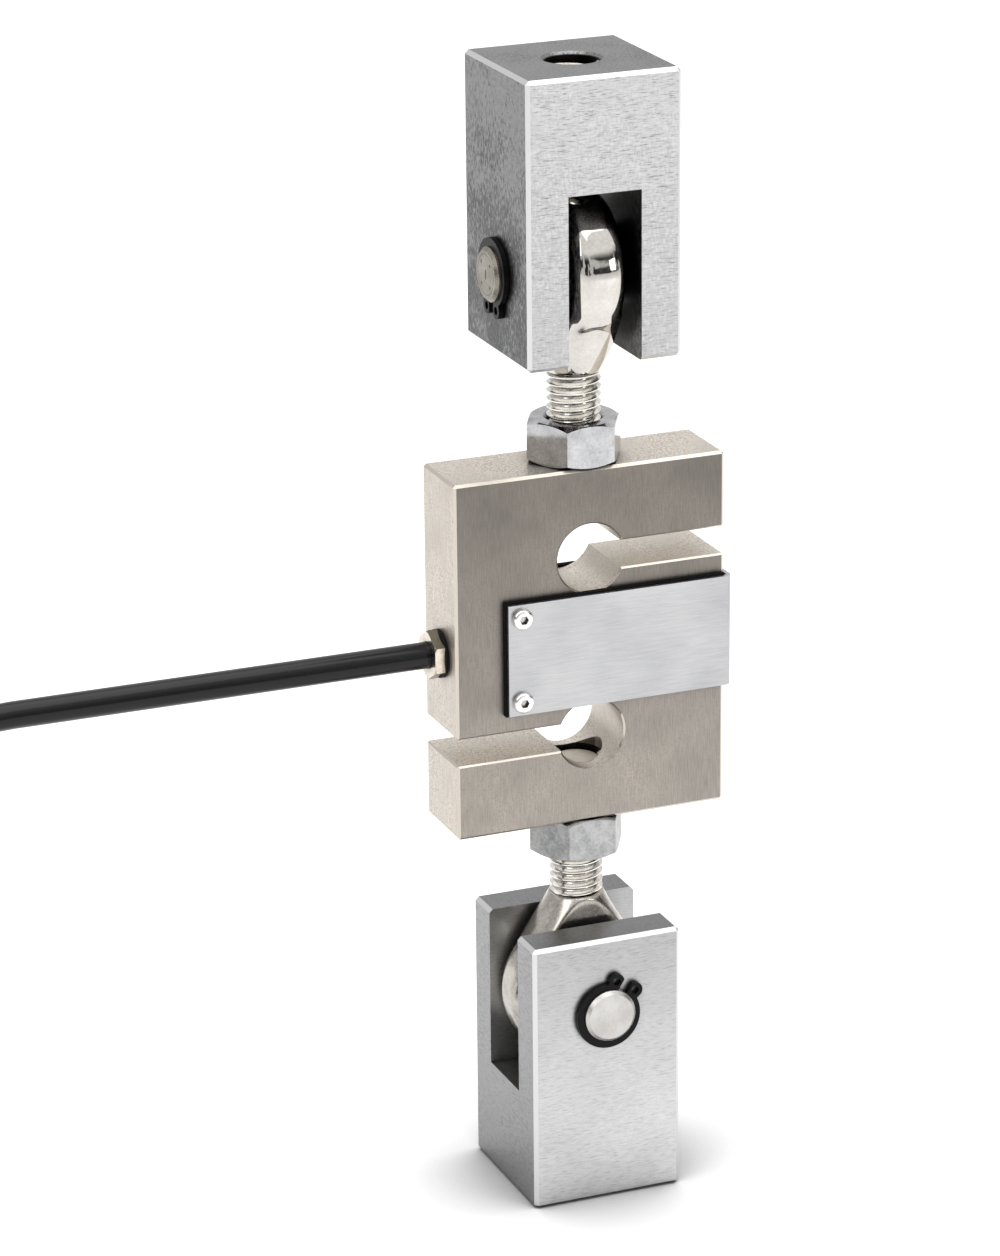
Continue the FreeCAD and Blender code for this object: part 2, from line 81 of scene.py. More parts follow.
def newest(name):  # the object that was just added
    obj = bpy.context.object
    obj.name = obj.data.name = name
    return obj


def settle(obj):  # puts the place into the mesh, with the object at the origin
    pick(obj)
    bpy.ops.object.transform_apply(location=True, rotation=True, scale=True)
    return obj


def useModifier(obj, kind, **settings):
    pick(obj)
    modifier = obj.modifiers.new(kind.lower(), kind)
    for key, value in settings.items():
        setattr(modifier, key, value)
    bpy.ops.object.modifier_apply(modifier=modifier.name)


def combine(obj, other, how):  # one solid from two, and the second one goes
    useModifier(obj, "BOOLEAN", operation=how, object=other, solver="EXACT")
    bpy.data.objects.remove(other)


def selectFaces(obj, wanted):  # leaves the active object in edit mode
    bpy.ops.object.mode_set(mode="EDIT")
    bpy.ops.mesh.select_mode(type="FACE")
    bpy.ops.mesh.select_all(action="DESELECT")
    bpy.ops.object.mode_set(mode="OBJECT")
    for face in obj.data.polygons:
        face.select = wanted(face.normal)
    bpy.ops.object.mode_set(mode="EDIT")


def tidyMesh(obj):
    pick(obj)
    bpy.ops.object.mode_set(mode="EDIT")
    bpy.ops.mesh.select_all(action="SELECT")
    bpy.ops.mesh.remove_doubles(threshold=0.002 * mm)
    bpy.ops.mesh.normals_make_consistent(inside=False)
    bpy.ops.object.mode_set(mode="OBJECT")


def closeEnds(obj):  # caps what is open
    pick(obj)
    bpy.ops.object.mode_set(mode="EDIT")
    bpy.ops.mesh.select_mode(type="VERT")
    bpy.ops.mesh.select_all(action="DESELECT")
    bpy.ops.mesh.select_non_manifold()
    bpy.ops.mesh.fill_holes(sides=0)
    bpy.ops.object.mode_set(mode="OBJECT")
    tidyMesh(obj)


def smooth(obj, degrees):
    pick(obj)
    bpy.ops.object.shade_smooth_by_angle(angle=math.radians(degrees))


def copyTo(obj, name, matrix):
    twin = bpy.data.objects.new(name, obj.data.copy())
    twin.data.name = name
    bpy.context.scene.collection.objects.link(twin)
    twin.data.transform(matrix)
    return twin


def roundLine(name, points, radius, sides, steps):  # a round line along smooth points
    curve = bpy.data.curves.new(name, "CURVE")
    curve.dimensions = "3D"
    curve.bevel_depth = radius
    curve.bevel_resolution = sides
    curve.resolution_u = steps
    curve.use_fill_caps = True
    line = curve.splines.new("NURBS")
    line.points.add(len(points) - 1)
    for point, place in zip(line.points, points):
        point.co = (*place, 1)
    line.order_u = 3
    line.use_endpoint_u = True
    obj = bpy.data.objects.new(name, curve)
    bpy.context.scene.collection.objects.link(obj)
    return obj


def colour(code):  # sRGB hex to linear
    channels = [int(code[i:i + 2], 16) / 255 for i in (1, 3, 5)]
    linear = [c / 12.92 if c <= 0.04045 else ((c + 0.055) / 1.055) ** 2.4 for c in channels]
    return linear + [1.0]


def addNode(tree, kind, settings=None, links=None):
    node = tree.nodes.new("ShaderNode" + kind)
    for key, value in (settings or {}).items():
        if isinstance(key, int) or key in node.inputs:
            node.inputs[key].default_value = value
        else:
            setattr(node, key, value)
    for key, source in (links or {}).items():
        if isinstance(source, bpy.types.Node):
            source = source.outputs[0]
        tree.links.new(source, node.inputs[key])
    return node


def startMaterial(name, **settings):
    material = bpy.data.materials.new(name)
    material.use_nodes = True
    tree = material.node_tree
    shader = tree.nodes["Principled BSDF"]
    for key, value in settings.items():
        shader.inputs[key].default_value = value
    return material, tree, shader


def paintRecessShade(tree, source, reach, darkest, least=None):
    # Painted shade: darker where a surface is closed in within this reach.
    around = addNode(tree, "AmbientOcclusion", {"samples": 8, "Distance": reach})
    closing = {"From Min": 0.25, "From Max": 0.8, "To Min": darkest}
    level = addNode(tree, "MapRange", closing, {0: around.outputs["AO"]})
    if least:
        level = addNode(tree, "Math", {"operation": "MAXIMUM"}, {0: level, 1: least})
    return addNode(tree, "VectorMath", {"operation": "SCALE"}, {0: source, "Scale": level})


noiseSpread = {"From Min": 0.3, "From Max": 0.7}  # where nearly all of a noise lies
squareOn = {"From Min": 0.75, "From Max": 0.95}  # a face that looks along an axis
turnedAway = {"From Min": 0.93, "From Max": 0.78}  # a face that looks along none of them


def blockMasks(tree, spot, axes, look):
    # Front faces, end faces, broken edges on the outside that get a painted highlight, and what is darkened:
    # the bore with painted shade and the slot holes' chamfers.
    sides = [addNode(tree, "Math", {"operation": "ABSOLUTE"}, {0: axes.outputs[i]}) for i in range(3)]
    front = addNode(tree, "MapRange", squareOn, {0: sides[1]})
    ends = addNode(tree, "MapRange", squareOn, {0: sides[2]})
    across = []
    outer = []
    for i in range(3):
        away = addNode(tree, "Math", {"operation": "SUBTRACT", 1: look["middle"][i]}, {0: spot.outputs[i]})
        away = addNode(tree, "Math", {"operation": "ABSOLUTE"}, {0: away})
        across.append(away)
        beyond = {"operation": "GREATER_THAN", 1: look["brokenFrom"][i]}
        outer.append(addNode(tree, "Math", beyond, {0: away}))
    widest = sides[0]
    outside = outer[0]
    for i in (1, 2):
        widest = addNode(tree, "Math", {"operation": "MAXIMUM"}, {0: widest, 1: sides[i]})
        outside = addNode(tree, "Math", {"operation": "MAXIMUM"}, {0: outside, 1: outer[i]})
    slanted = addNode(tree, "MapRange", turnedAway, {0: widest})
    edge = addNode(tree, "Math", {"operation": "MULTIPLY"}, {0: slanted, 1: outside})
    # a slanted face near the middle, the chamfer of a slot hole, is painted darker
    slant = addNode(tree, "Math", {"operation": "COMPARE", 1: 0.62, 2: 0.28}, {0: sides[1]})
    chamferDarkening = addNode(tree, "Math", {"operation": "GREATER_THAN"}, {0: slant, 1: outside})
    chamferDarkening = addNode(tree, "Math", {"operation": "MULTIPLY", 1: look["chamferDarkening"]}, {0: chamferDarkening})
    undarkened = addNode(tree, "Math", {"operation": "SUBTRACT", 0: 1.0}, {1: chamferDarkening})
    # painted shade: the tapped bore round Z is darkened, but not the slot hole that it runs into
    flat = addNode(tree, "CombineXYZ", links={0: spot.outputs[0], 1: spot.outputs[1]})
    radius = addNode(tree, "VectorMath", {"operation": "LENGTH"}, {0: flat})
    wall = {"From Min": 5.05 * mm, "From Max": 5.2 * mm, "To Min": 0.1}
    bore = addNode(tree, "MapRange", wall, {0: radius.outputs["Value"]})
    slotHole = addNode(tree, "Math", {"operation": "LESS_THAN", 1: look["boreFrom"]}, {0: across[2]})
    bore = addNode(tree, "Math", {"operation": "MAXIMUM"}, {0: bore, 1: slotHole})
    dark = addNode(tree, "Math", {"operation": "MULTIPLY"}, {0: bore, 1: undarkened})
    return front, ends, edge, dark


def blockPatterns(tree, place, front, look):
    # Grain the way the tool went, which turns with the face, soft clouds and fine specks.
    grains = []
    for direction in (look["sideGrain"], look["frontGrain"]):
        scale = [1 / look["grainWidth"]] * 3
        scale[direction] = 1 / look["grainLength"]
        turned = addNode(tree, "Mapping", {"Scale": scale}, {0: place.outputs["Object"]})
        streaky = {"Scale": 1.0, "Detail": 4.0, "Roughness": 0.65}
        grains.append(addNode(tree, "TexNoise", streaky, {0: turned}))
    grain = addNode(tree, "Mix", {"data_type": "FLOAT"}, {"Factor": front, 2: grains[0], 3: grains[1]})
    broad = {"Scale": 1 / look["cloud"], "Detail": 3.0}
    cloud = addNode(tree, "TexNoise", broad, {0: place.outputs["Object"]})
    drawn = addNode(tree, "Mapping", {"Scale": look["speckStretch"]}, {0: place.outputs["Object"]})
    fine = {"Scale": 1 / look["speck"], "Detail": 4.0, "Roughness": 0.75}
    speck = addNode(tree, "TexNoise", fine, {0: drawn})
    return grain, cloud, speck


def blockShade(tree, height, front, grain, cloud, look):
    # Lighter and darker with the grain and the clouds, and with height on the front faces as a painted
    # reflection.
    shade = None
    for pattern, depth in ((grain, look["grainDepth"]), (cloud, look["cloudDepth"])):
        swing = {**noiseSpread, "To Min": 1 - depth, "To Max": 1 + depth}
        tone = addNode(tree, "MapRange", swing, {0: pattern})
        shade = addNode(tree, "Math", {"operation": "MULTIPLY"}, {0: shade, 1: tone}) if shade else tone
    paintedReflection = dict(zip(("From Min", "From Max", "To Min", "To Max"), look["frontReflection"]))
    paintedReflection = addNode(tree, "MapRange", paintedReflection, {0: height})
    paintedReflection = addNode(tree, "Mix", {"data_type": "FLOAT", 2: 1.0}, {"Factor": front, 3: paintedReflection})
    return addNode(tree, "Math", {"operation": "MULTIPLY"}, {0: shade, 1: paintedReflection})


def blockPits(tree, height, front, patterns, look):
    # Dark specks, more of them where the part is worn, and dark streaks along the grain.
    grain, cloud, speck = patterns
    gather = {"From Min": 0.35, "From Max": 0.65, "To Min": -0.05, "To Max": 0.06}
    wander = addNode(tree, "MapRange", gather, {0: cloud})
    wander = addNode(tree, "Math", {"operation": "ADD"}, {0: wander, 1: speck})
    wear = {"From Min": look["wornFrom"], "From Max": look["wornTo"], "To Max": look["worn"]}
    worn = addNode(tree, "MapRange", wear, {0: height})
    wander = addNode(tree, "Math", {"operation": "ADD"}, {0: wander, 1: worn})
    deep = {"From Min": 0.5, "From Max": 0.64, "To Max": look["speckSide"]}
    pits = addNode(tree, "MapRange", deep, {0: wander})
    fewer = addNode(tree, "MapRange", {"To Min": 1.0, "To Max": look["speckFront"]}, {0: front})
    pits = addNode(tree, "Math", {"operation": "MULTIPLY"}, {0: pits, 1: fewer})
    scratch = {"From Min": 0.44, "From Max": 0.34, "To Max": look["streak"]}
    streaks = addNode(tree, "MapRange", scratch, {0: grain})
    return addNode(tree, "Math", {"operation": "MAXIMUM"}, {0: pits, 1: streaks})


def steelFaces(name, look):
    # A block that is ground on its front and back and milled on its sides and ends.
    # Its broken edges are polished and lightened with a painted highlight, it has dark pits, and painted
    # shade darkens its slots and bores.
    material, tree, shader = startMaterial(name, Metallic=1.0)
    place = addNode(tree, "TexCoord")
    axes = addNode(tree, "SeparateXYZ", links={0: place.outputs["Normal"]})
    spot = addNode(tree, "SeparateXYZ", links={0: place.outputs["Object"]})
    height = spot.outputs[2]
    front, ends, edge, dark = blockMasks(tree, spot, axes, look)
    grain, cloud, speck = blockPatterns(tree, place, front, look)
    shade = blockShade(tree, height, front, grain, cloud, look)
    pits = blockPits(tree, height, front, (grain, cloud, speck), look)
    tones = {"data_type": "RGBA", 6: colour(look["side"]), 7: colour(look["front"])}
    base = addNode(tree, "Mix", tones, {"Factor": front})
    tones = {"data_type": "RGBA", 7: colour(look["end"])}
    base = addNode(tree, "Mix", tones, {"Factor": ends, 6: base.outputs[2]})
    base = addNode(tree, "VectorMath", {"operation": "SCALE"}, {0: base.outputs[2], "Scale": shade})
    tones = {"data_type": "RGBA", 7: colour(look["pit"])}
    base = addNode(tree, "Mix", tones, {"Factor": pits, 6: base})
    # broken edges: polished, and lightened towards a painted highlight
    tones = {"data_type": "RGBA", 7: colour(look["edge"])}
    base = addNode(tree, "Mix", tones, {"Factor": edge, 6: base.outputs[2]})
    base = addNode(tree, "VectorMath", {"operation": "SCALE"}, {0: base.outputs[2], "Scale": dark})
    # light reaches the walls that look right or down, so less painted shade falls on them
    lit = addNode(tree, "Math", {"operation": "SUBTRACT"}, {0: axes.outputs[0], 1: axes.outputs[2]})
    lit = addNode(tree, "MapRange", {"From Min": 0.3, "From Max": 0.9, "To Max": look["litWall"]}, {0: lit})
    base = paintRecessShade(tree, base, look["shadeReach"], look["shadeDarkest"], lit)
    tree.links.new(base.outputs[0], shader.inputs["Base Color"])
    uneven = {**noiseSpread, "To Min": look["roughness"] - 0.06, "To Max": look["roughness"] + 0.08}
    rough = addNode(tree, "MapRange", uneven, {0: grain})
    rough = addNode(tree, "Mix", {"data_type": "FLOAT", 3: 0.3}, {"Factor": edge, 2: rough})
    tree.links.new(rough.outputs[0], shader.inputs["Roughness"])
    bump = addNode(tree, "Bump", {"Strength": look["bump"], "Distance": 0.02 * mm}, {"Height": grain})
    tree.links.new(bump.outputs[0], shader.inputs["Normal"])
    return material


evenly = (1, 1, 1)  # a pattern that isn't drawn out
never = 1  # further than any part reaches, in metres

# Free-machining steel, front and back surface-ground along X, other faces as milled: pale, streaked
# fronts beside grey, pitted sides. The grain is drawn about four times as wide as real, so that it shows.
forkLook = {
    "front": "#bcbcbc", "side": "#808080", "end": "#808081", "edge": "#cbcbcb", "pit": "#3d3d3f",
    "frontGrain": 0, "sideGrain": 1,  # the axis it runs along
    "grainLength": 1.7 * mm, "grainWidth": 0.2 * mm, "grainDepth": 0.2,
    "cloud": 9 * mm, "cloudDepth": 0.06, "streak": 0.5,
    "speck": 0.45 * mm, "speckStretch": (1, 1, 0.4), "speckSide": 1.0, "speckFront": 0.2,
    "frontReflection": (0, -52 * mm, 1.0, 1.0),  # two heights and the brightness at each
    "roughness": 0.34, "bump": 0.6,
    # painted shade in the slot and other closed-in places: its reach and darkest tone
    "shadeReach": 14 * mm, "shadeDarkest": 0.03, "litWall": 0.8,
    "middle": (0, 0, 0), "brokenFrom": (13 * mm, 13 * mm, never), "boreFrom": 0, "chamferDarkening": 0,
    "wornFrom": -5 * mm, "wornTo": -50 * mm, "worn": 0.13,  # rougher towards the open end
}
# The same steel, cleaner, with its specks drawn out level, a painted reflection that brightens its front
# downwards, and an open slot that gets less painted shade.
lowerForkLook = dict(
    forkLook, side="#8f8f90", front="#bababa", grainDepth=0.13, streak=0.22,
    speckSide=0.35, speckStretch=(1, 0.35, 1), frontReflection=(-165 * mm, -205 * mm, 0.8, 1.2),
    shadeReach=3 * mm, shadeDarkest=0.35, worn=0,
)
# Nickel-plated alloy steel, satin, brushed up and down: a warm grey, with a painted reflection that brightens
# it down the front.
# The brushing is drawn about three times as wide as real, so that it shows.
cellLook = {
    "front": "#928c85", "side": "#c6beb4", "end": "#d6cec3", "edge": "#c4bcb1", "pit": "#6b635b",
    "frontGrain": 2, "sideGrain": 2,
    "grainLength": 3.4 * mm, "grainWidth": 0.16 * mm, "grainDepth": 0.2,
    "cloud": 12 * mm, "cloudDepth": 0.15, "streak": 0.2,
    "speck": 0.4 * mm, "speckStretch": evenly, "speckSide": 0.55, "speckFront": 0.6,
    "frontReflection": (-78 * mm, -138 * mm, 0.62, 1.16),
    "roughness": 0.40, "bump": 0.4,
    # painted shade in the slots and bores: its reach and darkest tone
    "shadeReach": 5 * mm, "shadeDarkest": 0.3, "litWall": 0,
    "middle": cellCentre, "brokenFrom": (6 * mm, never, 30 * mm), "boreFrom": 23.3 * mm, "chamferDarkening": 0.55,
    "wornFrom": 0, "wornTo": -never, "worn": 0,
}


def plainMetal(name, look):
    # One colour of metal, mottled and slightly uneven.
    material, tree, shader = startMaterial(name, Metallic=look.get("metallic", 1.0))
    place = addNode(tree, "TexCoord")
    drawn = addNode(tree, "Mapping", {"Scale": look.get("stretch", evenly)}, {0: place.outputs["Object"]})
    grain = {"Scale": 1 / look["grain"], "Detail": 4.0, "Roughness": 0.6}
    fine = addNode(tree, "TexNoise", grain, {0: drawn})
    broad = {"Scale": 1 / look["cloud"], "Detail": 2.0}
    cloud = addNode(tree, "TexNoise", broad, {0: place.outputs["Object"]})
    both = addNode(tree, "Math", {"operation": "ADD"}, {0: fine, 1: cloud})
    tone = addNode(tree, "MapRange", {"From Min": 0.75, "From Max": 1.25}, {0: both})
    tones = {"data_type": "RGBA", 6: colour(look["dark"]), 7: colour(look["light"])}
    base = addNode(tree, "Mix", tones, {"Factor": tone}).outputs[2]
    if "flankShade" in look:  # the slanted flats get painted shade
        axes = addNode(tree, "SeparateXYZ", links={0: place.outputs["Normal"]})
        steep = addNode(tree, "Math", {"operation": "ABSOLUTE"}, {0: axes.outputs[2]})
        flankShading = {"From Min": 0.3, "From Max": 0.5, "To Min": 1.0, "To Max": look["flankShade"]}
        steep = addNode(tree, "MapRange", flankShading, {0: steep})
        base = addNode(tree, "VectorMath", {"operation": "SCALE"}, {0: base, "Scale": steep}).outputs[0]
    # painted shade in the hollows
    if "shadeReach" in look:
        base = paintRecessShade(tree, base, look["shadeReach"], 0.04).outputs[0]
    tree.links.new(base, shader.inputs["Base Color"])
    uneven = {**noiseSpread, "To Min": look["roughness"] * 0.8, "To Max": look["roughness"] * 1.25}
    rough = addNode(tree, "MapRange", uneven, {0: fine})
    tree.links.new(rough.outputs[0], shader.inputs["Roughness"])
    bump = addNode(tree, "Bump", {"Strength": look["bump"], "Distance": 0.02 * mm}, {"Height": both})
    tree.links.new(bump.outputs[0], shader.inputs["Normal"])
    return material


metals = {
    # chrome plate over a polished forging: a near mirror with a warm tinge
    "polishedChrome": {
        "light": "#cecbc6", "dark": "#bcb8b1", "roughness": 0.07,
        "grain": 0.6 * mm, "cloud": 5 * mm, "bump": 0.06,
    },
    # the same plate on a rougher forging: blurred, browner reflections
    "satinChrome": {
        "light": "#bdb9b1", "dark": "#97928a", "roughness": 0.22,
        "grain": 0.5 * mm, "cloud": 4 * mm, "bump": 0.2,
    },
    # rolled and plated thread: bright crests, with painted shade down in the roots
    "rolledThread": {
        "light": "#f0ede8", "dark": "#cfcbc4", "roughness": 0.16,
        "grain": 0.3 * mm, "cloud": 3 * mm, "bump": 0.15, "shadeReach": 0.7 * mm,
    },
    # thread cut with a tap: torn and half matt
    "cutThread": {
        "light": "#cdc7bd", "dark": "#8f897f", "roughness": 0.3,
        "grain": 0.3 * mm, "cloud": 2 * mm, "bump": 0.4,
    },
    # the shank's faced end, scattering light as a pale cream disc
    "facedEnd": {
        "metallic": 0.5, "light": "#efe8db", "dark": "#dcd4c6", "roughness": 0.55,
        "grain": 0.2 * mm, "cloud": 2 * mm, "bump": 0.2,
    },
    # fresh zinc plate: cool, clear reflections, and painted shade in its hollows
    "brightZinc": {
        "light": "#bababb", "dark": "#9b9b9d", "roughness": 0.11,
        "grain": 0.5 * mm, "cloud": 3 * mm, "bump": 0.05, "shadeReach": 1.2 * mm,
    },
    # zinc plate gone dull: cloudy grey flats, and painted shade in its hollows
    "dullZinc": {
        "light": "#b4b4b3", "dark": "#8c8d8e", "roughness": 0.38,
        "grain": 0.5 * mm, "cloud": 2.5 * mm, "bump": 0.5, "shadeReach": 1.2 * mm,
    },
    # hardened pin, handled and worn: brownish and uneven
    "wornPin": {
        "light": "#938d83", "dark": "#6f695f", "roughness": 0.3,
        "grain": 0.3 * mm, "cloud": 3 * mm, "bump": 0.4,
    },
    # hardened pin as ground: plain, pale and satin
    "groundPin": {
        "light": "#c4c2bf", "dark": "#b0ada9", "roughness": 0.36,
        "grain": 0.3 * mm, "cloud": 3 * mm, "bump": 0.3,
    },
    # lapped bearing steel: a cool, dark mirror
    "bearingSteel": {
        "light": "#d4d5d8", "dark": "#bfc0c4", "roughness": 0.08,
        "grain": 0.4 * mm, "cloud": 4 * mm, "bump": 0.05,
    },
    # sheet brushed along X: fine level lines, drawn twice as wide as real, under a soft sheen
    "brushedStainless": {
        "light": "#b9b9ba", "dark": "#a1a1a3", "roughness": 0.33,
        "grain": 0.16 * mm, "cloud": 16 * mm, "stretch": (0.04, 1, 1), "bump": 0.25,
    },
    # nickel-plated screw: near white, with painted shade in its socket
    "nickelScrew": {
        "light": "#efeeec", "dark": "#d6d4d0", "roughness": 0.2,
        "grain": 0.3 * mm, "cloud": 2 * mm, "bump": 0.2, "shadeReach": 1.3 * mm,
    },
    # nickel-plated brass hexagon: warm, its slanted flats darkened almost black with painted shade, and
    # painted shade in its hollows
    "nickelBrass": {
        "light": "#d6cdc0", "dark": "#b0a698", "roughness": 0.2, "flankShade": 0.3,
        "grain": 0.3 * mm, "cloud": 2 * mm, "bump": 0.3, "shadeReach": 1.5 * mm,
    },
    # tinned copper strands: a soft silver tip
    "tinnedCopper": {
        "light": "#d5d3cd", "dark": "#b5b2aa", "roughness": 0.25,
        "grain": 0.2 * mm, "cloud": 1 * mm, "bump": 0.4,
    },
}
metal = {name: plainMetal(name, look) for name, look in metals.items()}


def softMaterial(name, look):
    # Rubber, plastic and other dull things: two tones, grain and a little relief.
    material, tree, shader = startMaterial(name, Roughness=look["roughness"])
    shader.inputs["Specular IOR Level"].default_value = look.get("specular", 0.5)
    place = addNode(tree, "TexCoord")
    fine = {"Scale": 1 / look["grain"], "Detail": 3.0}
    grain = addNode(tree, "TexNoise", fine, {0: place.outputs["Object"]})
    tones = {"data_type": "RGBA", 6: colour(look["dark"]), 7: colour(look["light"])}
    base = addNode(tree, "Mix", tones, {"Factor": grain})
    tree.links.new(base.outputs[2], shader.inputs["Base Color"])
    bump = addNode(tree, "Bump", {"Strength": look["bump"], "Distance": 0.05 * mm}, {"Height": grain})
    tree.links.new(bump.outputs[0], shader.inputs["Normal"])
    return material


softs = {
    # phosphated and oiled spring steel: near black with a faint sheen
    "phosphatedSpring": {
        "light": "#09090b", "dark": "#020203", "roughness": 0.4, "specular": 0.14,
        "grain": 0.25 * mm, "bump": 0.4,
    },
    # extruded PVC: smooth black with one long highlight
    "pvcJacket": {
        "light": "#0a0a0b", "dark": "#040405", "roughness": 0.22, "specular": 0.28,
        "grain": 0.8 * mm, "bump": 0.3,
    },
    # cut foam rubber: matt black with an open grain
    "cellularRubber": {
        "light": "#0c0c0d", "dark": "#020202", "roughness": 0.85, "specular": 0.15,
        "grain": 0.3 * mm, "bump": 0.9,
    },
    # moulded nitrile: black, with a dull bloom
    "nitrileRubber": {
        "light": "#0e0e0f", "dark": "#050505", "roughness": 0.6, "specular": 0.15,
        "grain": 0.4 * mm, "bump": 0.3,
    },
    # resin-bonded weave that lines the race: brown and dry
    "linerWeave": {"light": "#6d5a3c", "dark": "#43361f", "roughness": 0.7, "grain": 0.4 * mm, "bump": 0.5},
    # poured silicone: milky and slightly glossy
    "siliconePotting": {
        "light": "#dcdbd2", "dark": "#c3c2b8", "roughness": 0.3, "grain": 2 * mm, "bump": 0.3,
    },
    # lacquered glass laminate: green with a soft gloss
    "solderMask": {"light": "#2f7a3c", "dark": "#1f5a2b", "roughness": 0.35, "grain": 1.5 * mm, "bump": 0.2},
    # polyimide film over foil: amber
    "gaugeFilm": {"light": "#b98a3a", "dark": "#8f6523", "roughness": 0.4, "grain": 1 * mm, "bump": 0.3},
    # thin wire insulation: off white
    "leadSleeve": {"light": "#d8d2c2", "dark": "#bdb5a2", "roughness": 0.5, "grain": 0.5 * mm, "bump": 0.3},
    # hook and loop strap: black pile that takes the light unevenly
    "hookAndLoop": {"light": "#1d1d20", "dark": "#08080a", "roughness": 0.9, "grain": 0.35 * mm, "bump": 1.0},
}
soft = {name: softMaterial(name, look) for name, look in softs.items()}

pinMarks = {
    "tone": "#2b2825", "centre": upperEye, "across": 1,  # the pin lies along X
    "ring": 3.7 * mm, "ringHalf": 0.14 * mm, "ringFaint": 0.45,
    "dotOut": 2.0 * mm, "dotRadius": 0.32 * mm,
    "slotHalf": 0.35 * mm, "slotDrawn": 0.35,  # the centre mark, drawn out upwards
}


def markPinEnd(material):
    # A faint turned ring, four staking dots and a short centre mark on the end faces.
    tree = material.node_tree
    shader = tree.nodes["Principled BSDF"]
    place = addNode(tree, "TexCoord")
    centred = {"operation": "SUBTRACT", 1: pinMarks["centre"]}
    moved = addNode(tree, "VectorMath", centred, {0: place.outputs["Object"]})
    axes = addNode(tree, "SeparateXYZ", links={0: moved})
    side = addNode(tree, "Math", {"operation": "ABSOLUTE"}, {0: axes.outputs[pinMarks["across"]]})
    height = addNode(tree, "Math", {"operation": "ABSOLUTE"}, {0: axes.outputs[2]})
    flat = addNode(tree, "CombineXYZ", links={0: side, 1: height})
    reach = addNode(tree, "VectorMath", {"operation": "LENGTH"}, {0: flat})
    turned = {"operation": "COMPARE", 1: pinMarks["ring"], 2: pinMarks["ringHalf"]}
    ring = addNode(tree, "Math", turned, {0: reach.outputs["Value"]})
    ring = addNode(tree, "Math", {"operation": "MULTIPLY", 1: pinMarks["ringFaint"]}, {0: ring})
    staked = {"operation": "DISTANCE", 1: (pinMarks["dotOut"], pinMarks["dotOut"], 0)}
    dot = addNode(tree, "VectorMath", staked, {0: flat})
    within = {"operation": "LESS_THAN", 1: pinMarks["dotRadius"]}
    dot = addNode(tree, "Math", within, {0: dot.outputs["Value"]})
    squash = {"operation": "MULTIPLY", 1: (1, pinMarks["slotDrawn"], 0)}
    slot = addNode(tree, "VectorMath", squash, {0: flat})
    slot = addNode(tree, "VectorMath", {"operation": "LENGTH"}, {0: slot})
    within = {"operation": "LESS_THAN", 1: pinMarks["slotHalf"]}
    slot = addNode(tree, "Math", within, {0: slot.outputs["Value"]})
    marks = addNode(tree, "Math", {"operation": "MAXIMUM"}, {0: dot, 1: slot})
    marks = addNode(tree, "Math", {"operation": "MAXIMUM"}, {0: marks, 1: ring})
    before = shader.inputs["Base Color"].links[0].from_socket
    tones = {"data_type": "RGBA", 7: colour(pinMarks["tone"])}
    base = addNode(tree, "Mix", tones, {"Factor": marks, 6: before})
    tree.links.new(base.outputs[2], shader.inputs["Base Color"])


markPinEnd(metal["wornPin"])

nodeFinish = {
    "upper_fork": steelFaces("groundForkSteel", forkLook),
    "lower_fork": steelFaces("cleanForkSteel", lowerForkLook),
    "cell_body": steelFaces("satinNickelSteel", cellLook),
    "upper_pin": metal["wornPin"], "lower_pin": metal["groundPin"],
    "upper_ball": metal["bearingSteel"], "lower_ball": metal["bearingSteel"],
    "upper_jam_nut": metal["brightZinc"], "lower_jam_nut": metal["dullZinc"],
    "side_cover": metal["brushedStainless"], "cover_screws": metal["nickelScrew"],
    "cable_gland": metal["nickelBrass"],
    "upper_race": soft["linerWeave"], "lower_race": soft["linerWeave"],
    "gland_washer": soft["nitrileRubber"], "gland_seal": soft["nitrileRubber"],
    "gasket_front": soft["cellularRubber"], "gasket_back": soft["cellularRubber"],
    "terminal_board": soft["solderMask"], "inner_leads": soft["leadSleeve"],
    "strain_gauge_front": soft["gaugeFilm"], "strain_gauge_back": soft["gaugeFilm"],
    "potting_front": soft["siliconePotting"], "potting_back": soft["siliconePotting"],
    "hank_tie": soft["hookAndLoop"], "cable_cores": soft["leadSleeve"],
}
for name in nodes:
    if "retaining_ring" in name:
        nodeFinish[name] = soft["phosphatedSpring"]
for name, material in nodeFinish.items():
    nodes[name].data.materials.clear()
    nodes[name].data.materials.append(material)
print("materials on the CAD nodes:", len(nodeFinish))


# Rod end: a forged eye and neck on a rolled M10 shank, made with the eye along X and the shank down.
rodEnd = {
    "eyeRadius": 14.25 * mm, "eyeThickness": 10.5 * mm, "eyeRound": 3.4 * mm, "seatRadius": 10.02 * mm,
    "neckTop": (7.0 * mm, 12.0 * mm),  # depth below the eye's centre, and radius
    "neckEnd": (19.6 * mm, 5.0 * mm),
    "voxel": 0.26 * mm, "blending": 36,  # forged, so the neck runs into the eye
}
thread = {
    "pitch": 1.5 * mm, "crest": 4.98 * mm, "root": 4.12 * mm, "corner": 0.07 * mm, "steps": 48,
    "start": 18.6 * mm, "chamfer": 0.8 * mm, "spare": 0.2 * mm,  # what the blank has over the crest
}
shankLength = upperEye.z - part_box("upper_rod_end")[0].z


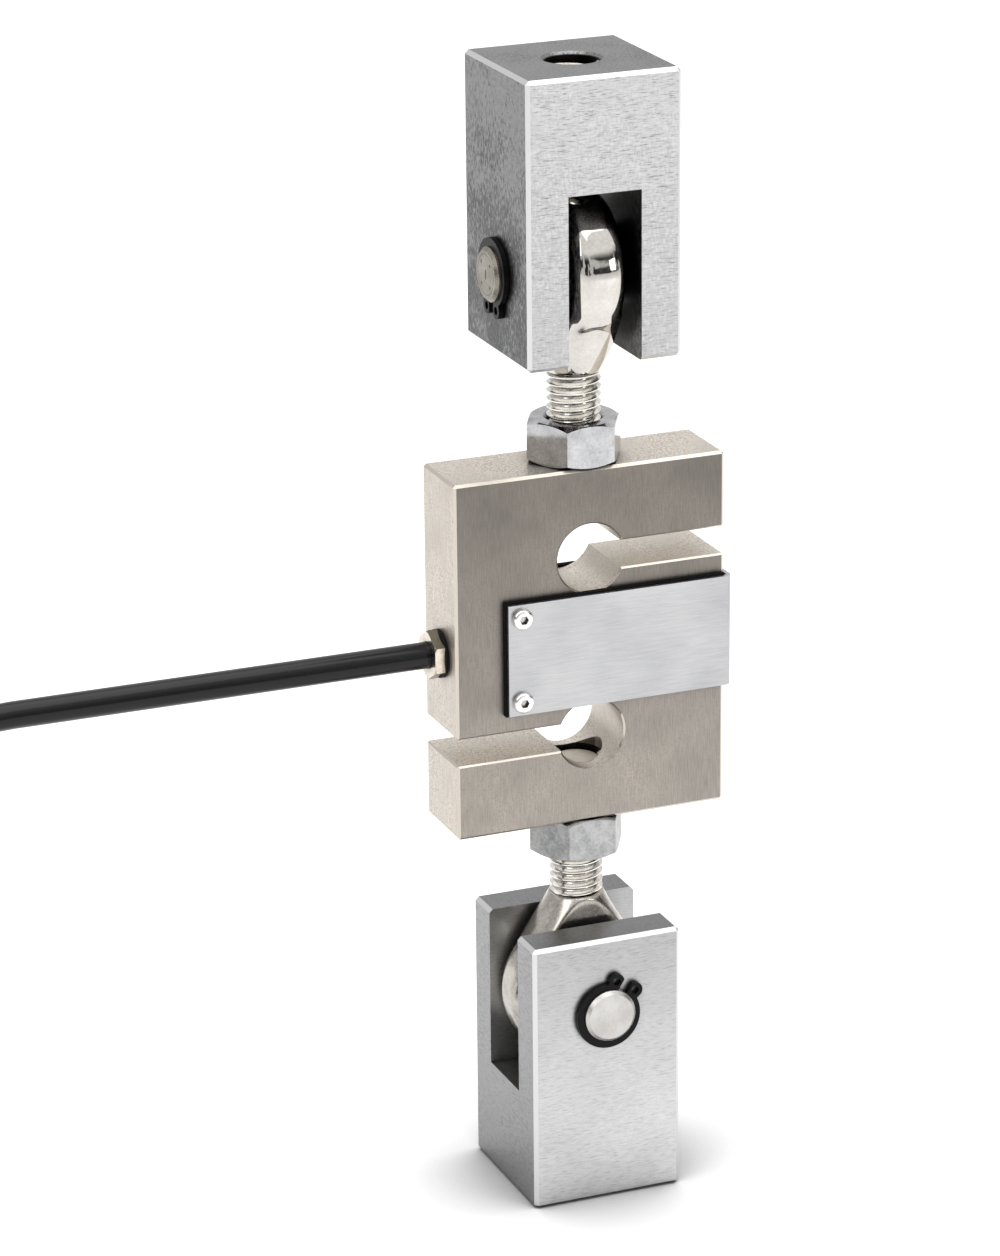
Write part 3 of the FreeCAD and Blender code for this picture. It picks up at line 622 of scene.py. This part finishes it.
def startProfile(name, points):  # a chain of edges drawn out from one vertex, in the XZ plane
    deselect()
    bpy.ops.mesh.primitive_plane_add(size=mm, location=(0, 0, 0))
    obj = newest(name)
    bpy.ops.object.mode_set(mode="EDIT")
    bpy.ops.mesh.select_mode(type="VERT")
    bpy.ops.mesh.select_all(action="SELECT")
    bpy.ops.mesh.merge(type="CENTER")
    bpy.ops.transform.translate(value=(points[0][0], 0, points[0][1]))
    for before, after in zip(points, points[1:]):
        step = (after[0] - before[0], 0, after[1] - before[1])
        bpy.ops.mesh.extrude_region_move(TRANSFORM_OT_translate={"value": step})
    return obj


def windProfile(obj, turns):  # the profile climbs one pitch in each turn about Z
    useModifier(obj, "SCREW", axis="Z", angle=2 * math.pi, screw_offset=thread["pitch"], iterations=turns,
                steps=thread["steps"], render_steps=thread["steps"], use_merge_vertices=True)


def makeThread(turns, top):  # a rolled thread about Z, with its upper end at this height
    pitch, crest, root, corner = (thread[key] for key in ("pitch", "crest", "root", "corner"))
    shape = [
        (root, 0), (root + corner, 0.09 * pitch), (crest - corner, 0.40 * pitch), (crest, 0.44 * pitch),
        (crest, 0.56 * pitch), (crest - corner, 0.60 * pitch), (root + corner, 0.91 * pitch), (root, pitch),
    ]
    obj = startProfile("shank", shape)
    bpy.ops.object.mode_set(mode="OBJECT")
    windProfile(obj, turns)
    obj.data.transform(Matrix.Translation((0, 0, top - turns * pitch)))
    tidyMesh(obj)
    closeEnds(obj)
    return obj


def makeShank():
    start, pitch, spare = thread["start"], thread["pitch"], thread["spare"]
    length = shankLength - start
    shank = makeThread(math.ceil(length / pitch) + 2, pitch - start)
    deselect()
    bpy.ops.mesh.primitive_cylinder_add(
        vertices=96, radius=thread["crest"] + spare, depth=length, location=(0, 0, -start - length / 2))
    blank = newest("blank")
    selectFaces(blank, lambda normal: normal.z < -0.9)  # the lower end
    bpy.ops.mesh.bevel(offset=thread["chamfer"] + spare, segments=1)
    bpy.ops.object.mode_set(mode="OBJECT")
    settle(blank)
    combine(shank, blank, "INTERSECT")
    return shank


def makeNeck():  # a cone with its sides cut flat
    top, wide = rodEnd["neckTop"]
    end, narrow = rodEnd["neckEnd"]
    spot = (0, 0, -(top + end) / 2)
    deselect()
    bpy.ops.mesh.primitive_cone_add(vertices=96, radius1=narrow, radius2=wide, depth=end - top, location=spot)
    neck = settle(newest("neck"))
    deselect()
    bpy.ops.mesh.primitive_cube_add(size=1, location=spot, scale=(rodEnd["eyeThickness"], 3 * wide, 2 * end))
    combine(neck, settle(newest("sides")), "INTERSECT")
    return neck


def makeEye():
    quarter = math.pi / 2
    deselect()
    bpy.ops.mesh.primitive_cylinder_add(
        vertices=160, radius=rodEnd["eyeRadius"], depth=rodEnd["eyeThickness"])
    eye = newest("eye")
    selectFaces(eye, lambda normal: abs(normal.z) > 0.9)  # both flat faces
    bpy.ops.mesh.bevel(offset=rodEnd["eyeRound"], segments=12)
    bpy.ops.object.mode_set(mode="OBJECT")
    eye.rotation_euler = (0, quarter, 0)
    settle(eye)
    combine(eye, makeNeck(), "UNION")
    useModifier(eye, "REMESH", mode="VOXEL", voxel_size=rodEnd["voxel"])
    useModifier(eye, "SMOOTH", factor=0.5, iterations=rodEnd["blending"])
    deselect()
    bpy.ops.mesh.primitive_uv_sphere_add(
        segments=96, ring_count=48, radius=rodEnd["seatRadius"], rotation=(0, quarter, 0))
    combine(eye, settle(newest("seat")), "DIFFERENCE")
    return eye


def makeRodEnds():
    shank = makeShank()
    shank.data.materials.append(metal["rolledThread"])
    shank.data.materials.append(metal["facedEnd"])
    for face in shank.data.polygons:
        face.material_index = 1 if face.normal.z < -0.9 else 0
    smooth(shank, 28)
    eye = makeEye()
    smooth(eye, 40)
    turnOver = Matrix.Rotation(math.pi / 2, 4, "Z") @ Matrix.Rotation(math.pi, 4, "X")
    places = {"upper": Matrix.Translation(upperEye), "lower": Matrix.Translation(lowerEye) @ turnOver}
    finish = {"upper": metal["polishedChrome"], "lower": metal["satinChrome"]}
    for end, matrix in places.items():
        head = copyTo(eye, end + "_forged_rod_end", matrix)
        head.data.materials.clear()
        head.data.materials.append(finish[end])
        stem = copyTo(shank, end + "_stem", matrix)
        pick(head)
        stem.select_set(True)
        bpy.ops.object.join()
        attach(head, "cell")
        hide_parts(end + "_rod_end")
    bpy.data.objects.remove(shank)
    bpy.data.objects.remove(eye)


makeRodEnds()
print("rod ends")


# Cut threads in the tapped holes, as ridges that stand in from the wall.
tappedHole = {
    "wall": 5.02 * mm, "tip": 4.3 * mm, "mouth": 0.75 * mm,  # the countersunk mouth has no thread
    "forkDepth": 13.2 * mm, "slotCrown": 23.5 * mm,  # the crown of a slot hole from the cell's centre
}


def makeRidge(turns):
    pitch, wall, tip = thread["pitch"], tappedHole["wall"], tappedHole["tip"]
    shape = [(wall, 0.05 * pitch), (tip, 0.43 * pitch), (tip, 0.57 * pitch), (wall, 0.95 * pitch)]
    obj = startProfile("ridge", shape)
    bpy.ops.mesh.select_all(action="SELECT")
    bpy.ops.mesh.edge_face_add()
    bpy.ops.mesh.delete(type="ONLY_FACE")
    bpy.ops.object.mode_set(mode="OBJECT")
    windProfile(obj, turns)
    closeEnds(obj)
    obj.data.materials.append(metal["cutThread"])
    smooth(obj, 30)
    return obj


def makeTappedHoles():
    low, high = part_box("cell_body")
    pitch, mouth = thread["pitch"], tappedHole["mouth"]
    forkDepth, cellDepth = tappedHole["forkDepth"], high.z - cellCentre.z - tappedHole["slotCrown"]
    # each hole's name, the body it is in, the height of its mouth and the way in
    holes = {
        "fork_steel": [
            ("upper_fork", "upper_fork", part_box("upper_fork")[1].z, -1),
            ("lower_fork", "lower_fork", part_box("lower_fork")[0].z, 1),
        ],
        "cell_steel": [("cell_top", "cell", high.z, -1), ("cell_bottom", "cell", low.z, 1)],
    }
    for slot, depth in (("fork_steel", forkDepth), ("cell_steel", cellDepth)):
        turns = math.floor((depth - mouth) / pitch) - 1
        length = (turns + 1) * pitch
        gap = mouth if slot == "fork_steel" else depth - length  # in the cell it runs to the slot hole
        ridge = makeRidge(turns)
        for name, body, z, way in holes[slot]:
            start = z + gap if way > 0 else z - gap - length
            twin = copyTo(ridge, name + "_thread", Matrix.Translation((0, 0, start)))
            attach(twin, body)
        bpy.data.objects.remove(ridge)


makeTappedHoles()
print("tapped holes")


# Four leads, bare cut, out of the cable's end.
coreSet = {
    "wires": {"red": "#b3201c", "black": "#141414", "green": "#1f7a35", "white": "#e6e4de"},
    "bundled": [(-231, -186.8), (-237, -186.6)],  # X and Z in mm, inside the jacket
    "spread": [(-242, -184.8), (-248, -184.0), (-258, -184.2)],
    "strippedFrom": -253.5 * mm, "bundling": 1.3,  # core radii between neighbours in the jacket
}


def makeCores():
    low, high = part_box("cable_cores")
    row = (low.y + high.y) / 2
    radius = (high.z - low.z) / 2
    gap = (high.y - low.y - 2 * radius) / 3
    made = []
    for number, (shade, code) in enumerate(coreSet["wires"].items()):
        aside = number - 1.5
        inside, outside = row + aside * radius * coreSet["bundling"], row + aside * gap
        points = [(x * mm, inside, z * mm) for x, z in coreSet["bundled"]]
        points += [(x * mm, outside, z * mm) for x, z in coreSet["spread"]]
        pick(roundLine("core_" + shade, points, radius, 4, 10))
        bpy.ops.object.convert(target="MESH")
        core = bpy.context.object
        tidyMesh(core)
        look = {"light": code, "dark": code, "roughness": 0.4, "grain": 0.4 * mm, "bump": 0.2}
        core.data.materials.append(softMaterial(shade + "Insulation", look))  # smooth PVC, in its own colour
        core.data.materials.append(metal["tinnedCopper"])
        for face in core.data.polygons:
            face.material_index = 1 if face.center.x < coreSet["strippedFrom"] else 0
        smooth(core, 40)
        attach(core, "cell")
        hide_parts("cable_cores")
        made.append(core.name)
    return made


cores = makeCores()
print("cores")


cameraSetup = {
    "azimuth": -21.89, "elevation": 19.354, "roll": -0.608, "lens": 136.69,
    "distance": 876.5 * mm, "right": 13.738 * mm, "up": -1.025 * mm,  # from the cell's centre
}


def makeCamera():
    azimuth, elevation, roll = (math.radians(cameraSetup[key]) for key in ("azimuth", "elevation", "roll"))
    level = Vector((math.cos(azimuth), math.sin(azimuth), 0))
    ahead = Vector((-math.sin(azimuth), math.cos(azimuth), 0)) * math.cos(elevation)
    ahead.z = -math.sin(elevation)
    over = level.cross(ahead)
    right = level * math.cos(roll) + over * math.sin(roll)
    up = over * math.cos(roll) - level * math.sin(roll)
    spot = cellCentre - ahead * cameraSetup["distance"]
    spot = spot - right * cameraSetup["right"] - up * cameraSetup["up"]
    bpy.ops.object.camera_add(location=spot)
    camera = bpy.context.object
    camera.rotation_euler = Matrix((right, up, -ahead)).transposed().to_euler()
    camera.data.lens = cameraSetup["lens"]
    camera.data.clip_start = 0.01
    bpy.context.scene.camera = camera


makeCamera()

backdrop = {"size": 8, "below": 0.02 * mm, "shadowReach": 85 * mm, "shadow": 0.25, "white": 0.97}


def makeFloor():  # white paper under the part, with a painted shadow where the part closes it in
    spot = (0, 0, cadBounds[0].z - backdrop["below"])
    bpy.ops.mesh.primitive_plane_add(size=backdrop["size"], location=spot)
    floor = newest("floor")
    paper, tree, shader = startMaterial("whitePaper", Roughness=0.9)
    near = addNode(tree, "AmbientOcclusion", {"samples": 16, "Distance": backdrop["shadowReach"]})
    closing = {"From Min": 0.35, "From Max": 0.95, "To Min": backdrop["shadow"], "To Max": backdrop["white"]}
    tone = addNode(tree, "MapRange", closing, {0: near.outputs["AO"]})
    tree.links.new(tone.outputs[0], shader.inputs["Base Color"])
    floor.data.materials.append(paper)
    settle(floor)


makeFloor()

# Soft boxes, all aimed at the cell's centre, with places from there in metres and power in watts.
lamps = {
    "slot": {"place": (0.55, -0.9, 0.22), "size": 0.25, "power": 1.2},
    "keyLeft": {"place": (-1.1, -0.6, 0.9), "size": 0.7, "power": 4},
    "overhead": {"place": (0.1, -0.1, 1.3), "size": 1.4, "power": 11},
}
for name, lamp in lamps.items():
    spot = cellCentre + Vector(lamp["place"])
    bpy.ops.object.light_add(type="AREA", location=spot)
    light = newest(name)
    light.rotation_euler = (cellCentre - spot).to_track_quat("-Z", "Y").to_euler()
    light.data.size = lamp["size"]
    light.data.energy = lamp["power"]

studio = {"above": 1.15, "low": 0.03, "behind": 0.85, "patches": 0.75, "patchScale": 4.0}


def makeStudio():  # bright above and behind, dim and broken up low in front, for the chrome to show
    world = bpy.data.worlds.new("studio")
    bpy.context.scene.world = world
    world.use_nodes = True
    tree = world.node_tree
    back = tree.nodes["Background"]
    place = addNode(tree, "TexCoord")
    axes = addNode(tree, "SeparateXYZ", links={0: place.outputs["Generated"]})
    rise = {"From Min": 0.3, "From Max": 0.5, "To Min": studio["low"], "To Max": studio["above"]}
    rise = addNode(tree, "MapRange", {**rise, "interpolation_type": "SMOOTHSTEP"}, {0: axes.outputs[2]})
    behind = {"From Min": -0.1, "From Max": 0.4, "To Max": studio["behind"]}
    behind = addNode(tree, "MapRange", behind, {0: axes.outputs[1]})
    broken = {"Scale": studio["patchScale"], "Detail": 1.0}
    patches = addNode(tree, "TexNoise", broken, {0: place.outputs["Generated"]})
    broken = {"From Min": 0.5, "From Max": 0.53, "To Max": studio["patches"]}
    patches = addNode(tree, "MapRange", broken, {0: patches})
    sight = addNode(tree, "LightPath")  # the backdrop itself is plain white
    level = rise
    for other in (behind, patches, sight.outputs["Is Camera Ray"]):
        level = addNode(tree, "Math", {"operation": "MAXIMUM"}, {0: level, 1: other})
    tree.links.new(level.outputs[0], back.inputs["Strength"])
    back.inputs["Color"].default_value = colour("#ffffff")


makeStudio()
bpy.context.scene.view_settings.view_transform = "Standard"
print("camera, lamps and floor")


# Signal cable, with its spare length in a tied hank.
cable = {
    "radius": 2.5 * mm, "stated": 3.0, "turns": 5,
    "route": [  # out of the gland and down to the hank, in mm
        (-17.9, 0, -107.7), (-97, 0, -107.7), (-118, 0, -107.7), (-136, 1, -118.7), (-145, 4, -138.7),
        (-150, 8.5, -156.7), (-157, 13.5, -171.7), (-169, 17.3, -180.2),
    ],
    "endSteps": 12, "sideSteps": 3,  # points round an end of the hank and along a side
    "joinAt": 2, "crossing": 3,  # its first point on a turn, and its steps across to the inner layer
    "stopAt": 6,  # its last point on the turn after the last whole one
    "strap": 1.3 * mm,  # between the cable at the waist and the strap's outside
}


def hankTurn(end, waist):
    # One turn of the hank seen from above: two round ends and two hollow sides, all tangent arcs.
    low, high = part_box("cable_hank")
    centre = (low.x + high.x) / 2
    reach = (high.x - low.x) / 2 - (high.y - low.y) / 2
    side = (reach**2 + waist**2 - end**2) / (2 * (end - waist))
    tangent = math.atan2(waist + side, reach)
    endTurn = 2 * (math.pi - tangent)
    sideTurn = math.pi - 2 * tangent
    sideSteps, endSteps = cable["sideSteps"], cable["endSteps"]
    # the points stand off each arc a little, because a smooth line stays inside its points
    sideReach = side / math.cos(sideTurn / sideSteps / 2)
    endReach = end / math.cos(endTurn / endSteps / 2)
    points = []
    for way in (1, -1):
        for i in range(sideSteps):  # a side, about a centre outside the hank
            angle = sideTurn * ((i + 0.5) / sideSteps - 0.5)
            x, y = sideReach * math.sin(angle), waist + side - sideReach * math.cos(angle)
            points.append((centre - way * x, way * y))
        for i in range(endSteps):
            angle = tangent + endTurn * (i + 0.5) / endSteps
            x, y = reach - endReach * math.cos(angle), endReach * math.sin(angle)
            points.append((centre - way * x, way * y))
    return points


def cablePoints():
    low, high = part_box("cable_hank")
    radius, crossing = cable["radius"], cable["crossing"]
    wide, narrow = (high.y - low.y) / 2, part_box("hank_tie")[1].y - cable["strap"]
    outer = hankTurn(wide - radius, narrow - radius)
    inner = hankTurn(wide - 3 * radius, narrow - 3 * radius)
    turn = len(outer)
    whole = cable["turns"] * turn
    top, bottom = high.z - radius, low.z + radius
    fall = (top - bottom) / whole
    points = [Vector(place) * mm for place in cable["route"]]
    for i in range(cable["joinAt"], whole + 1):  # down the outer layer
        x, y = outer[i % turn]
        points.append(Vector((x, y, top - fall * i)))
    for i in range(1, crossing):  # across to the inner layer
        share = i / crossing
        k = (whole + i) % turn
        across = Vector(outer[k]).lerp(Vector(inner[k]), share * share * (3 - 2 * share))
        points.append(Vector((across.x, across.y, bottom)))
    for i in range(crossing, whole + cable["stopAt"] + 1):  # and up again inside it
        x, y = inner[i % turn]
        points.append(Vector((x, y, min(top, bottom + fall * (i - crossing)))))
    return points


def makeCable():
    lead = roundLine("signal_lead", cablePoints(), cable["radius"], 5, 6)
    lead.data.materials.append(soft["pvcJacket"])
    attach(lead, "cell")
    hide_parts("signal_cable", "cable_hank")


makeCable()
print("cable")
